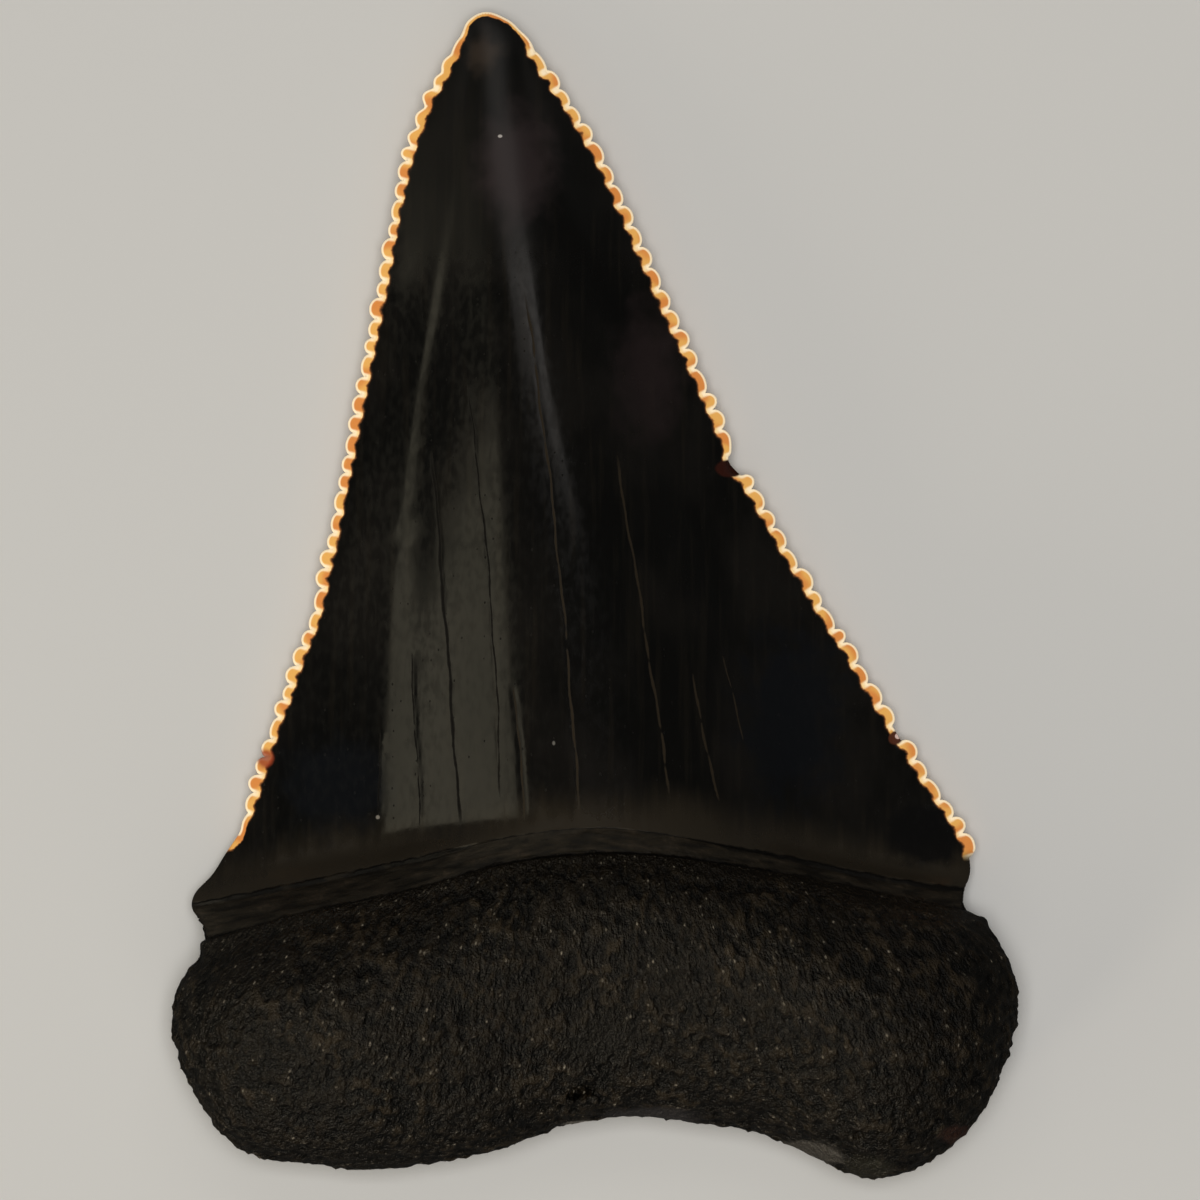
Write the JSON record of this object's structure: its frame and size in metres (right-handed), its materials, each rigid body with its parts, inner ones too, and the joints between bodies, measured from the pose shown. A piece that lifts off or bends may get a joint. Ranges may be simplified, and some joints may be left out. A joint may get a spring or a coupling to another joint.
{
  "type": "fossil great white shark tooth",
  "caption": "Fossil shark tooth lying on its outer face: triangular blade with serrated edges, glossy dark enamel, a neck band and a porous two-lobed root with an arch and a nutrient hole.",
  "frame": {"origin": "on the ground, under the middle of the tooth's bounding box", "axes": "+Y from the root to the tip of the crown, +Z out of the inner (tongue-side) face, +X to the right when looking down on that face with the tip pointing away"},
  "size_m": [0.0426, 0.0586, 0.0108],
  "materials": {
    "fossil_tooth": "glossy charcoal enamel with cream to amber cutting edges, brown neck band, matt dark brown porous root"
  },
  "bodies": {
    "root": {"tooth": "fossil_tooth"}
  },
  "joints": []
}
